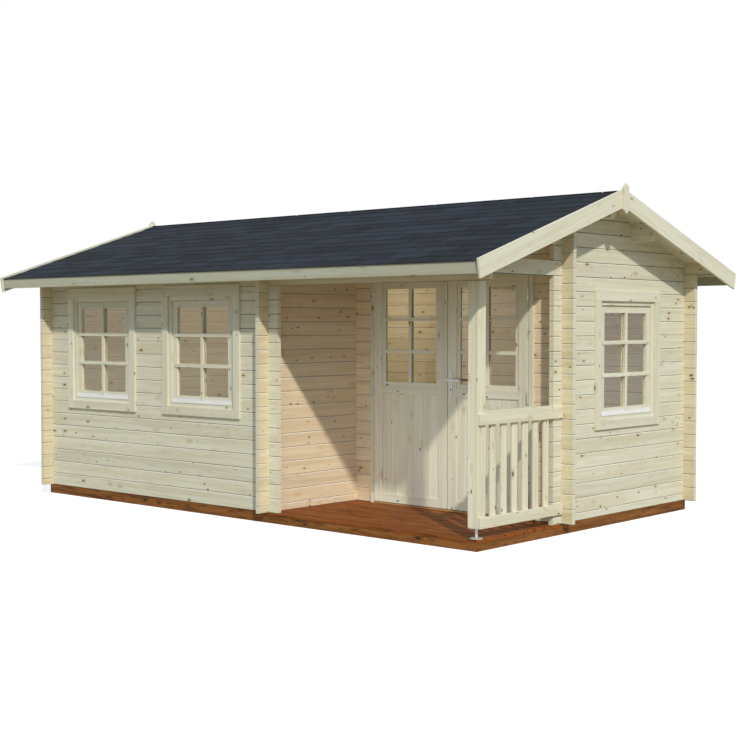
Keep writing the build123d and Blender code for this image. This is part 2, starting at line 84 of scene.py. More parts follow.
# Two soft lights stand in for what a white studio throws into the room and into the porch
room_lamp = lamp("room_lamp", "POINT", 15.0, (1.0, 0.87, 0.7))
room_lamp.location = (-0.6, 0.6, 1.75)
room_lamp.data.shadow_soft_size = 0.35
porch_fill = lamp("porch_fill", "SPOT", 112.0, (0.92, 0.96, 1.04), (1.2, -3.15, -0.1))
porch_fill.location = (2.4, -3.6, 0.5)
porch_fill.data.shadow_soft_size = 0.6
porch_fill.data.spot_size = math.radians(48.0)
porch_fill.data.spot_blend = 1.0
for soft_light in (room_lamp, porch_fill):
    soft_light.visible_camera = False
    soft_light.visible_glossy = False
    soft_light.visible_transmission = False


def add(tree, kind, inputs=None, **settings):
    """A new node's outputs. Its inputs, by name or number, are values or links, and its kind
    is written without ShaderNode."""
    made = tree.nodes.new(kind if "Node" in kind else "ShaderNode" + kind)
    for name, value in settings.items():
        setattr(made, name, value)
    for name, value in (inputs or {}).items():
        if isinstance(value, bpy.types.NodeSocket):
            tree.links.new(value, made.inputs[name])
        else:
            made.inputs[name].default_value = value
    return made.outputs


def after(kind, inputs, **settings):
    """A new node's outputs, in the tree of the sockets that feed it."""
    tree = next(v.id_data for v in inputs.values() if isinstance(v, bpy.types.NodeSocket))
    return add(tree, kind, inputs, **settings)


def calc(operation, *values, clamp=False):
    return after("Math", dict(enumerate(values)), operation=operation, use_clamp=clamp)[0]


def times(*values, clamp=False):
    return calc("MULTIPLY", *values, clamp=clamp)


def plus(*values):
    return calc("ADD", *values)


def empty_material(name):
    material = bpy.data.materials.new(name)
    material.use_nodes = True
    material.node_tree.nodes.clear()
    return material, material.node_tree


def looked_at(tree):
    """1 where the eye meets the background, itself, in a mirror image or through a pane."""
    path = add(tree, "LightPath")
    seen = calc("MAXIMUM", path["Is Camera Ray"], path["Is Glossy Ray"])
    return calc("MAXIMUM", seen, path["Is Transmission Ray"])


world = bpy.data.worlds.new("sky")
scene.world = world
world.use_nodes = True
sky = world.node_tree
sky.nodes.clear()
daylight = add(sky, "Background", {"Color": (0.75, 0.93, 1.08, 1.0), "Strength": 0.51})
white = add(sky, "Background", {"Color": (1.0, 1.0, 1.0, 1.0), "Strength": 1.0})
sky_mix = after("MixShader", {0: looked_at(sky), 1: daylight[0], 2: white[0]})
after("OutputWorld", {"Surface": sky_mix[0]})

floor_material, tree = empty_material("pale_floor")
matt = add(tree, "BsdfDiffuse", {"Color": (0.36, 0.295, 0.195, 1.0)})
matt_seen = add(tree, "BsdfDiffuse", {"Color": (0.45, 0.45, 0.45, 1.0)})
glow = add(tree, "Emission", {"Color": (1.0, 1.0, 1.0, 1.0), "Strength": 0.74})
seen_floor = after("AddShader", {0: matt_seen[0], 1: glow[0]})
floor_mix = after("MixShader", {0: looked_at(tree), 1: matt[0], 2: seen_floor[0]})
after("OutputMaterial", {"Surface": floor_mix[0]})

FLOOR_HALF, FLOOR_Z = 60.0, -0.001
floor_mesh = bpy.data.meshes.new("studio_floor")
floor_mesh.from_pydata([(x * FLOOR_HALF, y * FLOOR_HALF, FLOOR_Z)
                        for x, y in ((-1, -1), (1, -1), (1, 1), (-1, 1))], [], [(0, 1, 2, 3)])
floor_mesh.materials.append(floor_material)
studio_floor = in_scene("studio_floor", floor_mesh)


# Log walls.
# Untreated spruce logs of 114 x 40 mm with chamfered edges, stacked dry and half lapped where
# two walls cross. Their ends stand out past the corner and show end grain.

def srgb(red, green, blue):
    """A colour written in 0 to 255, as Blender's sockets take it."""
    def straight(value):
        value = value / 255.0
        return value / 12.92 if value <= 0.04045 else ((value + 0.055) / 1.055) ** 2.4
    return (straight(red), straight(green), straight(blue), 1.0)


def vector_calc(operation, *values):
    return after("VectorMath", dict(enumerate(values)), operation=operation)[0]


def xyz(vector):
    return after("SeparateXYZ", {0: vector})[:3]


def joined(x=0.0, y=0.0, z=0.0):
    return after("CombineXYZ", {0: x, 1: y, 2: z})[0]


def fade(value, start, end, low=0.0, high=1.0):
    """low up to start, high from end on, and smooth between them."""
    return after("MapRange", {"Value": value, "From Min": start, "From Max": end, "To Min": low,
                              "To Max": high}, interpolation_type="SMOOTHSTEP")[0]


def weighted(*parts):
    """The sum of each part's value times its weight."""
    total = None
    for value, weight in parts:
        part = times(value, weight)
        total = part if total is None else plus(total, part)
    return total


def mixed(share, first, second, blend="MIX"):
    """Two colours mixed; sockets 6 and 7 of the node are its colour inputs, 2 its colour."""
    return after("Mix", {0: share, 6: first, 7: second}, data_type="RGBA", blend_type=blend)[2]


def noise(place, scale, detail, roughness=0.5):
    """Noise at place, which scale stretches by one number or by one for each axis."""
    if isinstance(scale, tuple):
        place, scale = vector_calc("MULTIPLY", place, scale), 1.0
    return after("TexNoise", {"Vector": place, "Scale": scale, "Detail": detail,
                              "Roughness": roughness})["Fac"]


def empty_tree(kind, name, inputs, outputs):
    """A node tree with named sockets, the sockets that it is given and those of its result."""
    tree = bpy.data.node_groups.new(name, kind + "NodeTree")
    for side, sockets in (("INPUT", inputs), ("OUTPUT", outputs)):
        for label, socket in sockets.items():
            tree.interface.new_socket(name=label, in_out=side, socket_type="NodeSocket" + socket)
    return (tree, tree.nodes.new("NodeGroupInput").outputs,
            tree.nodes.new("NodeGroupOutput").inputs)


def spruce_group():
    """Sawn softwood: streaks and growth lines along X of Place, knots, and rings where End is 1."""
    tree, given, result = empty_tree("Shader", "softwood", {
        "Place": "Vector", "Seed": "Float", "End": "Float", "Pale": "Color", "Dark": "Color",
        "Knot": "Color", "Grain": "Float", "Knots": "Float",
    }, {"Color": "Color", "Roughness": "Float", "Height": "Float"})
    pale, dark, end = given["Pale"], given["Dark"], given["End"]
    shift = vector_calc("MULTIPLY", given["Seed"], (17.3, 5.1, 9.7))
    place = vector_calc("ADD", given["Place"], shift)

    def scattered(stretch, channel, share, least, most):
        """How far the nearest knot is, in knot sizes, and 1 if that cell has one."""
        place_in_cells = vector_calc("MULTIPLY", place, stretch)
        cells = after("TexVoronoi", {"Vector": place_in_cells, "Scale": 1.0})
        chance = after("SeparateColor", {0: cells["Color"]})
        size = fade(chance[channel + 1], 0.0, 1.0, least, most)
        return (calc("DIVIDE", cells["Distance"], size), calc("LESS_THAN", chance[channel], share))

    far, here = scattered((5.2, 11.0, 11.0), 0, given["Knots"], 0.6, 1.15)
    halo = times(fade(far, 0.06, 0.34, 1.0, 0.0), here)
    pin_share = times(given["Knots"], 0.75)
    pin_far, pin_here = scattered((8.5, 21.0, 21.0), 1, pin_share, 0.7, 1.3)
    core = calc("MAXIMUM", times(fade(far, 0.055, 0.12, 1.0, 0.0), here),
                times(fade(pin_far, 0.08, 0.15, 0.85, 0.0), pin_here))

    bent = vector_calc("ADD", place, vector_calc("MULTIPLY", halo, (0.0, 0.022, 0.022)))
    streak = fade(noise(bent, (0.9, 26.0, 26.0), 4.0, 0.6), 0.34, 0.68)
    fine = noise(bent, (5.0, 210.0, 210.0), 3.0, 0.6)
    swell = noise(bent, (0.55, 6.5, 6.5), 1.0)
    growth = fade(calc("SINE", times(swell, 110.0)), -0.2, 1.0)
    patch = noise(bent, (1.3, 3.0, 3.0), 2.0)

    tone = times(weighted((streak, 0.42), (growth, 0.14), (fine, 0.32)),
                 given["Grain"], clamp=True)
    side = mixed(tone, pale, dark)
    warm = times(fade(patch, 0.42, 0.7), 0.22)
    side = mixed(warm, side, mixed(0.5, pale, dark))
    side = mixed(times(halo, 0.45), side, dark)
    side = mixed(core, side, given["Knot"])

    _, across, up = xyz(place)
    rings = after("TexWave",
                  {"Vector": joined(0.0, across, times(up, 0.8)),
                   "Scale": 55.0, "Distortion": 3.0, "Detail": 2.0, "Detail Scale": 0.4},
                  wave_type="RINGS", rings_direction="X")["Fac"]
    colour = mixed(end, side, mixed(times(rings, 0.55), pale, dark))
    shade = after("TexWhiteNoise", {"W": given["Seed"]}, noise_dimensions="1D")["Value"]
    tinted = after("VectorMath", {0: colour, "Scale": fade(shade, 0.0, 1.0, 0.93, 1.03)},
                   operation="SCALE")
    rough = plus(fade(streak, 0.0, 1.0, 0.58, 0.70), times(end, 0.12))
    height = weighted((fine, 0.55), (streak, 0.35), (core, 0.5))
    for label, value in (("Color", tinted[0]), ("Roughness", rough), ("Height", height)):
        tree.links.new(value, result[label])
    return tree


softwood = spruce_group()


def finished(inputs):
    """A Principled shader with these inputs as the material's surface."""
    after("OutputMaterial", {"Surface": after("BsdfPrincipled", inputs)[0]})


def wood_shader(place, seed, end, values, bump, colour_of=None, specular=0.3):
    """Softwood on a Principled shader. colour_of may change the colour before it goes in."""
    grain = after("Group", dict(values, Place=place, Seed=seed, End=end), node_tree=softwood)
    relief = after("Bump", {"Height": grain["Height"], "Distance": bump, "Strength": 0.8})
    finished({"Base Color": colour_of(grain["Color"]) if colour_of else grain["Color"],
              "Roughness": grain["Roughness"], "Normal": relief[0],
              "Specular IOR Level": specular})


LOG_HEIGHT, LOGS_START = 0.114, 0.083
SPRUCE = {"Pale": srgb(236, 236, 218), "Dark": srgb(190, 168, 122), "Knot": srgb(92, 78, 60),
          "Grain": 0.66, "Knots": 0.6}

# The logs in the porch get painted warm light: more golden colours, with fainter knots, stand in
# for the warm bounce light in the porch's shade
WARM_BOUNCE_TONES = {"Pale": srgb(242, 226, 197), "Dark": srgb(196, 163, 114), "Knot": srgb(122, 98, 68)}
PORCH_X, PORCH_FRONT_Y, PORCH_WALL_Y = 0.395, -1.475, -0.42
ROOM_X, ROOM_Y = 2.51, 1.44
CORNERS = (2.545, 1.475)
END_FACING = 0.7


def log_material(name, along, by_porch):
    """Spruce logs along X or Y: every log gets its own grain, a dark joint below it, a painted
    highlight on its upper edge and a warmer tone on the sides of its end past the corner. The logs
    along Y lie half a course higher."""
    material, tree = empty_material(name)
    where = add(tree, "TexCoord")
    x, y, z = xyz(where["Object"])
    lengthwise, across = ((x, y), (y, x))[along]
    facing = calc("ABSOLUTE", xyz(where["Normal"])[along])
    end = calc("GREATER_THAN", facing, END_FACING)
    course = plus(calc("DIVIDE", calc("SUBTRACT", z, LOGS_START), LOG_HEIGHT), 0.5 * along)
    seed = times(calc("FLOOR", course), 0.37)
    level = calc("FRACT", course)

    in_porch = times(calc("GREATER_THAN", x, PORCH_X - 0.02), calc("LESS_THAN", y, PORCH_WALL_Y))
    in_walls = times(calc("LESS_THAN", calc("ABSOLUTE", x), ROOM_X),
                     calc("LESS_THAN", calc("ABSOLUTE", y), ROOM_Y))
    in_room = calc("SUBTRACT", in_walls, in_porch, clamp=True)
    joint_depth = calc("SUBTRACT", 0.65 if by_porch else 0.9, times(in_room, 0.4))
    joint = times(fade(level, 0.026, 0.056, 1.0, 0.0), joint_depth)
    # Painted highlight: a pale band at the top of each log, just below the joint, where the upper
    # chamfer would catch the light
    edge = times(fade(level, 0.925, 0.955), fade(level, 0.985, 1.0, 0.55, 0.0))
    past_corner = calc("GREATER_THAN", calc("ABSOLUTE", lengthwise), CORNERS[along])
    stub = times(past_corner, calc("SUBTRACT", 1.0, end))

    def with_joint_and_painted_highlight(colour):
        warmer = mixed(stub, colour, (1.0, 0.94, 0.83, 1.0), "MULTIPLY")
        highlighted = mixed(edge, warmer, srgb(250, 248, 238))
        return mixed(joint, highlighted, srgb(78, 62, 38))

    values = dict(SPRUCE)
    if by_porch:
        # Painted warm bounce light: the logs turn golden inside the porch, and a fifth as much in
        # front of its front line
        inside_x = times(fade(x, PORCH_X - 0.02, PORCH_X + 0.02),
                         fade(x, ROOM_X - 0.01, ROOM_X + 0.03, 1.0, 0.0))
        painted_warmth = times(inside_x, fade(y, PORCH_FRONT_Y - 0.02, PORCH_FRONT_Y + 0.02, 0.2, 1.0))
        for tone, bounce_tone in WARM_BOUNCE_TONES.items():
            values[tone] = mixed(painted_warmth, SPRUCE[tone], bounce_tone)
    wood_shader(joined(lengthwise, across, z), seed, end, values, 0.0009, with_joint_and_painted_highlight)
    return material


def finish_nodes(material, *names):
    """CAD nodes keep their meshes and get their finish."""
    for name in names:
        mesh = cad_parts[name].data
        mesh.materials.clear()
        mesh.materials.append(material)


for material_name, along, by_porch, walls in (
        ("spruce_logs_along_the_front", 0, False, ("front_wall", "back_wall")),
        ("spruce_logs_along_the_gables", 1, False,
         ("left_gable_wall", "right_gable_wall", "gable_header", "right_gable_top")),
        ("porch_logs_with_painted_warm_light_along_the_front", 0, True,
         ("front_beam", "door_wall_left", "door_wall_right", "door_wall_over")),
        ("porch_logs_with_painted_warm_light_along_the_gables", 1, True, ("recess_side_wall",))):
    finish_nodes(log_material(material_name, along, by_porch), *walls)


# Purlins, bargeboards, finials, eave boards, post and deck.
# Planed spruce boards with lightly rounded edges. The bargeboards meet under a pointed finial,
# and the stained deck boards lie with narrow gaps between them.

def worn_stain(place):
    """Dark blotches and streaks that a stain leaves on sawn wood."""
    blotch = noise(place, (3.0, 24.0, 24.0), 6.0, 0.72)

    def stained(colour):
        return mixed(fade(blotch, 0.50, 0.68, 0.0, 0.8), colour, srgb(48, 27, 12))
    return stained


def board_material(name, values, bump=0.0006, specular=0.3, stain=False):
    """Planed boards, whose own grain direction is kept in the mesh as grain, board and end."""
    material, tree = empty_material(name)
    place = add(tree, "Attribute", attribute_name="grain")["Vector"]
    seed = add(tree, "Attribute", attribute_name="board")["Fac"]
    end = add(tree, "Attribute", attribute_name="end")["Fac"]
    colour_of = worn_stain(place) if stain else None
    wood_shader(place, seed, end, values, bump, colour_of, specular)
    return material


spruce_boards = board_material("planed_spruce", dict(SPRUCE, Grain=0.5, Knots=0.5))
porch_timber = board_material("planed_spruce_porch", dict(SPRUCE, Pale=srgb(243, 241, 218),
                                                          Grain=0.55, Knots=0.85))
eave_boards = board_material("planed_spruce_eaves", dict(SPRUCE, Pale=srgb(200, 205, 186),
                                                         Dark=srgb(168, 152, 116)))
STAINED = {"Pale": srgb(170, 97, 36), "Dark": srgb(84, 42, 15), "Knot": srgb(38, 22, 12),
           "Grain": 1.1, "Knots": 0.6}
stained_boards = board_material("stained_deck_boards", STAINED, 0.0012, 0.2, True)


def grain_layers(bm):
    return (bm.verts.layers.float_vector.new("grain"), bm.verts.layers.float.new("board"),
            bm.loops.layers.float.new("end"))


def mark_grain(verts, faces, layers, along, seed):
    """Writes where each point of one board lies along and across its grain."""
    grain, board, end = layers
    across = Vector((0.0, 0.0, 1.0)) if abs(along.z) < 0.9 else Vector((0.0, 1.0, 0.0))
    side = along.cross(across).normalized()
    third = side.cross(along)
    for v in verts:
        v[grain] = (v.co.dot(along), v.co.dot(side), v.co.dot(third))
        v[board] = seed
    for face in faces:
        for loop in face.loops:
            loop[end] = 1.0 if abs(face.normal.dot(along)) > 0.75 else 0.0


def islands(bm):
    """The separate boards of a mesh, as lists of vertices."""
    left = set(bm.verts)
    found = []
    while left:
        group = [left.pop()]
        for v in group:
            for edge in v.link_edges:
                other = edge.other_vert(v)
                if other in left:
                    left.remove(other)
                    group.append(other)
        found.append(group)
    return sorted(found, key=lambda g: min((v.co.x + 3 * v.co.y + 7 * v.co.z) for v in g))


def mesh_from(bm, name):
    mesh = bpy.data.meshes.new(name)
    bm.to_mesh(mesh)
    bm.free()
    return mesh


def shown(name, mesh, material, body, replaced=(), bevel=0.0, smooth=False):
    """A finished piece: its object, its material, its soft edges and its body."""
    mesh.materials.clear()
    mesh.materials.append(material)
    piece = in_scene(name, mesh)
    if smooth:
        mesh.shade_smooth()
        mesh.set_sharp_from_angle(angle=math.radians(35.0))
    if bevel:
        rounding = piece.modifiers.new("edges", "BEVEL")
        rounding.width = bevel
        rounding.segments = 2
        rounding.limit_method = "ANGLE"
        rounding.angle_limit = math.radians(25.0)
    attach(piece, body)
    if replaced:
        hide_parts(*replaced)


def merged_copy(node):
    bm = bmesh.new()
    bm.from_mesh(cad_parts[node].data)
    bmesh.ops.remove_doubles(bm, verts=bm.verts, dist=1e-5)
    bmesh.ops.dissolve_limit(bm, angle_limit=math.radians(1.0), verts=bm.verts, edges=bm.edges)
    return bm


def unit(axis):
    return Vector([1.0 if k == axis else 0.0 for k in range(3)])


def soft_boards(node, name, material, bevel, along=None, undercut=0.0):
    """A CAD node's boards again, with rounded edges and a grain along each board. undercut
    slants both ends back from the top, so that they stay hidden behind the bargeboards."""
    bm = merged_copy(node)
    if undercut:
        lowest = min(v.co.z for v in bm.verts)
        for v in bm.verts:
            if v.co.z < lowest + 0.001:
                v.co.x -= math.copysign(undercut, v.co.x)
    layers = grain_layers(bm)
    bm.normal_update()
    for group in islands(bm):
        size = [max(v.co[k] for v in group) - min(v.co[k] for v in group) for k in range(3)]
        direction = along or unit(size.index(max(size)))
        faces = {face for v in group for face in v.link_faces}
        mark_grain(group, faces, layers, direction.normalized(), random.random() * 3.0)
    shown(name, mesh_from(bm, name), material, "cabin", (node,), bevel)


ROOF_PITCH = math.radians(18.0)
slopes = {"front": Vector((0.0, -math.cos(ROOF_PITCH), -math.sin(ROOF_PITCH))),
          "back": Vector((0.0, math.cos(ROOF_PITCH), -math.sin(ROOF_PITCH)))}
for side in ("left", "right"):
    for face, slope in slopes.items():
        soft_boards(f"{side}_{face}_bargeboard", f"{side}_{face}_barge_soft", spruce_boards,
                    0.0025, along=slope)
    soft_boards(side + "_finial", side + "_finial_soft", spruce_boards, 0.0025)
for node in ("ridge_purlin", "front_purlin", "back_purlin"):
    soft_boards(node, node + "_soft", spruce_boards, 0.003, undercut=0.09)
soft_boards("porch_post", "porch_post_soft", porch_timber, 0.003)
for node in ("front_eave_board", "back_eave_board"):
    soft_boards(node, node + "_soft", eave_boards, 0.003)
soft_boards("porch_deck", "deck_boards", stained_boards, 0.0035)


# Deck screws.
# Two countersunk screws hold each deck board on every joist below it.

def plain_finish(name, scale, detail, pale, dark, rough=None, tone=None, fixed=None):
    """Bare or coated metal: noise varies its colour and its roughness a little."""
    material, tree = empty_material(name)
    grain = noise(add(tree, "TexCoord")["Object"], scale, detail)
    inputs = dict(fixed or {})
    inputs["Base Color"] = mixed(fade(grain, *tone) if tone else grain, pale, dark)
    if rough:
        inputs["Roughness"] = fade(grain, 0.2, 0.8, *rough)
    finished(inputs)
    return material


def repeating_tree(name, inputs):
    """A Geometry Nodes tree that repeats a pattern, with named inputs."""
    return empty_tree("Geometry", name, dict(inputs, Seed="Int", Material="Material"),
                      {"Geometry": "Geometry"})


def grown(name, tree, seed, material, values, body="cabin", replaced=()):
    """A piece from the plain mesh that a Geometry Nodes tree makes with these values."""
    values = dict(values, Seed=seed, Material=material)
    host = in_scene(name, bpy.data.meshes.new(name))
    modifier = host.modifiers.new("grown", "NODES")
    modifier.node_group = tree
    for socket in tree.interface.items_tree:
        if socket.in_out == "INPUT" and socket.name in values:
            modifier[socket.identifier] = values[socket.name]
    graph = bpy.context.evaluated_depsgraph_get()
    mesh = bpy.data.meshes.new_from_object(host.evaluated_get(graph))
    bpy.data.objects.remove(host)
    mesh.name = name
    shown(name, mesh, material, body, replaced)


def grid_cell(index, columns):
    """The column and the row of a count that runs along one row after the other."""
    row = calc("DIVIDE", plus(index, 0.5), columns)
    return calc("MODULO", index, columns), calc("FLOOR", row)


def chance(seed, low, high):
    return after("FunctionNodeRandomValue", {2: low, 3: high, "Seed": seed}, data_type="FLOAT")[1]


def on_points(pattern, count, place, rotation=(0.0, 0.0, 0.0)):
    """The pattern's shape count times, at place."""
    points = after("GeometryNodePoints", {"Count": count, "Position": place})
    shape = after("GeometryNodeObjectInfo", {"Object": pattern})
    return after("GeometryNodeInstanceOnPoints",
                 {"Points": points[0], "Instance": shape["Geometry"], "Rotation": rotation})[0]


def put_out(geometry, given, result):
    """The tree's end: plain geometry with its material."""
    real = after("GeometryNodeRealizeInstances", {0: geometry})
    coated = after("GeometryNodeSetMaterial", {0: real[0], "Material": given["Material"]})
    geometry.id_data.links.new(coated[0], result[0])


def screw_head(radius, height):
    """A shallow domed head with a cross recess cut as four small notches, point down."""
    sides = 12
    cross = [0.42 if k % 3 == 0 else 0.16 for k in range(sides)]
    bm = bmesh.new()
    rings = [[bm.verts.new((radius * share * math.cos(2 * math.pi * k / sides),
                            radius * share * math.sin(2 * math.pi * k / sides), height * level))
              for k, share in enumerate(shares)]
             for shares, level in (([1.0] * sides, 0.0), ([0.94] * sides, 0.6),
                                   ([0.55] * sides, 1.0), (cross, 1.0))]
    deep = bm.verts.new((0.0, 0.0, height * 0.1))
    for k in range(sides):
        n = (k + 1) % sides
        for low, high in zip(rings, rings[1:]):
            bm.faces.new((low[k], low[n], high[n], high[k]))
        bm.faces.new((rings[-1][k], rings[-1][n], deep))
    bm.faces.new(list(reversed(rings[0])))
    return mesh_from(bm, "screw_head")


def screw_tree():
    """Screws in pairs: Columns of them along X and Rows of boards along Y."""
    tree, given, result = repeating_tree("screw_rows", {
        "Screw": "Object", "Columns": "Int", "Rows": "Int", "Column pitch": "Float",
        "Row pitch": "Float", "Pair": "Float", "Corner": "Vector"})
    boards = times(given["Columns"], given["Rows"])
    index = add(tree, "GeometryNodeInputIndex")[0]
    pair = calc("FLOOR", calc("DIVIDE", index, 2.0))
    column, row = grid_cell(pair, given["Columns"])
    x = times(column, given["Column pitch"])
    y = weighted((row, given["Row pitch"]), (calc("MODULO", index, 2.0), given["Pair"]))
    place = vector_calc("ADD", joined(x, y), given["Corner"])
    turn = chance(given["Seed"], 0.0, 6.283)
    screws = on_points(given["Screw"], times(boards, 2.0), place, joined(z=turn))
    put_out(screws, given, result)
    return tree


zinc = plain_finish("dull_zinc", 160.0, 3.0, srgb(214, 213, 208), srgb(174, 173, 168),
                    (0.32, 0.52), (0.3, 0.75), {"Metallic": 0.6})
deck_low, deck_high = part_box("porch_deck")
DECK_BOARD, DECK_PITCH, DECK_BOARDS = 0.111, 0.117, 8
FIRST_JOIST_X, LAST_JOIST_X, JOISTS = 0.473, 2.515, 5
SCREW_FROM_EDGE, SCREW_SUNK = 0.022, 0.0007
deck_screw = bpy.data.objects.new("deck_screw", screw_head(0.004, 0.0009))
grown("deck_screws", screw_tree(), 3, zinc, {
    "Screw": deck_screw, "Columns": JOISTS, "Rows": DECK_BOARDS,
    "Column pitch": (LAST_JOIST_X - FIRST_JOIST_X) / (JOISTS - 1),
    "Row pitch": DECK_PITCH, "Pair": DECK_BOARD - 2 * SCREW_FROM_EDGE,
    "Corner": (FIRST_JOIST_X, deck_low.y + SCREW_FROM_EDGE, deck_high.z - SCREW_SUNK)})


# Base frame and room floor.
# Impregnated bearers and joists under the walls, and planed boards on them in the room.

base_stain, tree = empty_material("stained_base")
where = add(tree, "TexCoord")
x, y, z = xyz(where["Object"])
across = calc("GREATER_THAN", calc("ABSOLUTE", xyz(where["Normal"])[0]), END_FACING)
place = mixed(across, joined(x, y, z), joined(y, x, z))
wood_shader(place, 0.2, 0.0,
            dict(STAINED, Pale=srgb(166, 109, 54), Dark=srgb(84, 49, 23), Knots=0.8),
            0.0012, worn_stain(place), 0.15)
finish_nodes(base_stain, "base_frame")

FLOOR_BOARD = 0.092
floor_boards, tree = empty_material("room_floor_boards")
where = add(tree, "TexCoord")["Object"]
board = calc("DIVIDE", xyz(where)[1], FLOOR_BOARD)
to_joint = calc("ABSOLUTE", calc("SUBTRACT", calc("FRACT", board), 0.5))
floor_joint = fade(to_joint, 0.480, 0.494, 0.0, 0.75)
wood_shader(where, times(calc("FLOOR", board), 0.29), 0.0,
            dict(SPRUCE, Dark=srgb(190, 160, 108)), 0.0006,
            lambda colour: mixed(floor_joint, colour, srgb(88, 70, 44)))
finish_nodes(floor_boards, "room_floor")


# Roof boards.
# Tongued boards of 96 mm run from the ridge down to the eaves, and their chamfered joints
# show from below, under the overhangs and in the room.

def drawn(bm, *outlines):
    """A closed solid through outlines with as many corners each."""
    rings = [[bm.verts.new(corner) for corner in outline] for outline in outlines]
    bm.faces.new(rings[0])
    bm.faces.new(list(reversed(rings[-1])))
    for first, last in zip(rings, rings[1:]):
        for k in range(len(first)):
            bm.faces.new((first[k], first[k - 1], last[k - 1], last[k]))
    bmesh.ops.recalc_face_normals(bm, faces=bm.faces)
    return [v for ring in rings for v in ring]


def drawn_board(name, first, last, along):
    """A board between two end outlines, with its grain along it, for a tree to repeat."""
    bm = bmesh.new()
    grain = bm.verts.layers.float_vector.new("grain")
    end = bm.loops.layers.float.new("end")
    for v in drawn(bm, first, last):
        v[grain] = (v.co[along], v.co[(along + 1) % 3], v.co[(along + 2) % 3])
    for face in bm.faces:
        for loop in face.loops:
            loop[end] = 1.0 if abs(face.normal[along]) > 0.75 else 0.0
    return bpy.data.objects.new(name, mesh_from(bm, name))


def tongued_board(width, length, thickness, chamfer):
    """One board in the slope's own plane: across X, down the slope along -Y, chamfered below.
    Its upper end is cut plumb for the ridge."""
    half = width / 2
    outline = [(-half, thickness), (-half, chamfer), (-half + chamfer, 0.0),
               (half - chamfer, 0.0), (half, chamfer), (half, thickness)]
    return drawn_board("roof_board", [(x, -z * math.tan(ROOF_PITCH), z) for x, z in outline],
                       [(x, -length, z) for x, z in outline], 1)


def board_row_tree():
    """Count boards in a row along X, each with its own seed, turned and moved to its place."""
    tree, given, result = repeating_tree("board_row", {
        "Board": "Object", "Count": "Int", "Pitch": "Float", "Turn": "Vector", "Origin": "Vector"})
    index = add(tree, "GeometryNodeInputIndex")[0]
    place = joined(times(index, given["Pitch"]))
    placed = on_points(given["Board"], given["Count"], place)
    seeded = after("GeometryNodeStoreNamedAttribute",
                   {0: placed, "Name": "board", "Value": chance(given["Seed"], 0.0, 3.0)},
                   data_type="FLOAT", domain="INSTANCE")
    turned = after("GeometryNodeTransform", {0: seeded[0], "Rotation": given["Turn"],
                                             "Translation": given["Origin"]})
    put_out(turned[0], given, result)
    return tree


BARGE_INNER_X, EAVE_INNER_Y, COVER_EDGE_Y = 2.805, 1.795, 1.823
BOARD_THICK, COVER_THICK, BOARD_GAP, RIDGE_GAP = 0.018, 0.006, 0.0006, 0.001
SLOPE_FACTOR = 1.0 / math.cos(ROOF_PITCH)
RIDGE_UNDER_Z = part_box("front_roof")[1].z - (BOARD_THICK + COVER_THICK) * SLOPE_FACTOR
ROOF_BOARDS = 58
board_row = board_row_tree()
roof_board_pitch = 2 * BARGE_INNER_X / ROOF_BOARDS
roof_board = tongued_board(roof_board_pitch - BOARD_GAP, EAVE_INNER_Y * SLOPE_FACTOR - RIDGE_GAP,
                           BOARD_THICK, 0.004)
first_board_x = -BARGE_INNER_X + roof_board_pitch / 2
for side, start_x, half_turn, seed in (("front", first_board_x, 0.0, 11),
                                       ("back", -first_board_x, math.pi, 12)):
    grown(side + "_roof_boards", board_row, seed, spruce_boards, {
        "Board": roof_board, "Count": ROOF_BOARDS, "Pitch": roof_board_pitch,
        "Turn": (ROOF_PITCH, 0.0, half_turn), "Origin": (start_x, 0.0, RIDGE_UNDER_Z)},
        replaced=(side + "_roof",))


# Roof covering.
# Dark bitumen shingles with mineral granules, laid in courses from the eaves up, every second
# course half a tab over, with bent caps along the ridge.

shingles, tree = empty_material("bitumen_shingles")
where = add(tree, "TexCoord")["Object"]
tint = add(tree, "Attribute", attribute_name="tint")["Fac"]
grit = after("TexVoronoi", {"Vector": where, "Scale": 420.0})
grit_tone = after("SeparateColor", {0: grit["Color"]})[0]
cloud = noise(where, (2.2, 9.0, 9.0), 4.0, 0.6)
speckle = noise(where, 75.0, 3.0, 0.7)
wash = fade(noise(where, (1.6, 5.0, 5.0), 2.0), 0.4, 0.6)
tone = weighted((tint, 0.22), (grit_tone, 0.20), (cloud, 0.40), (speckle, 0.45))
colour = mixed(fade(tone, 0.42, 0.86), mixed(wash, srgb(14, 18, 24), srgb(16, 18, 26)),
               mixed(wash, srgb(38, 48, 57), srgb(42, 49, 62)))
height = plus(times(grit["Distance"], -0.6), cloud)
relief = after("Bump", {"Height": height, "Distance": 0.0012, "Strength": 0.9})
finished({"Base Color": colour, "Roughness": fade(grit_tone, 0.0, 1.0, 0.82, 0.95),
          "Normal": relief[0], "Specular IOR Level": 0.16})


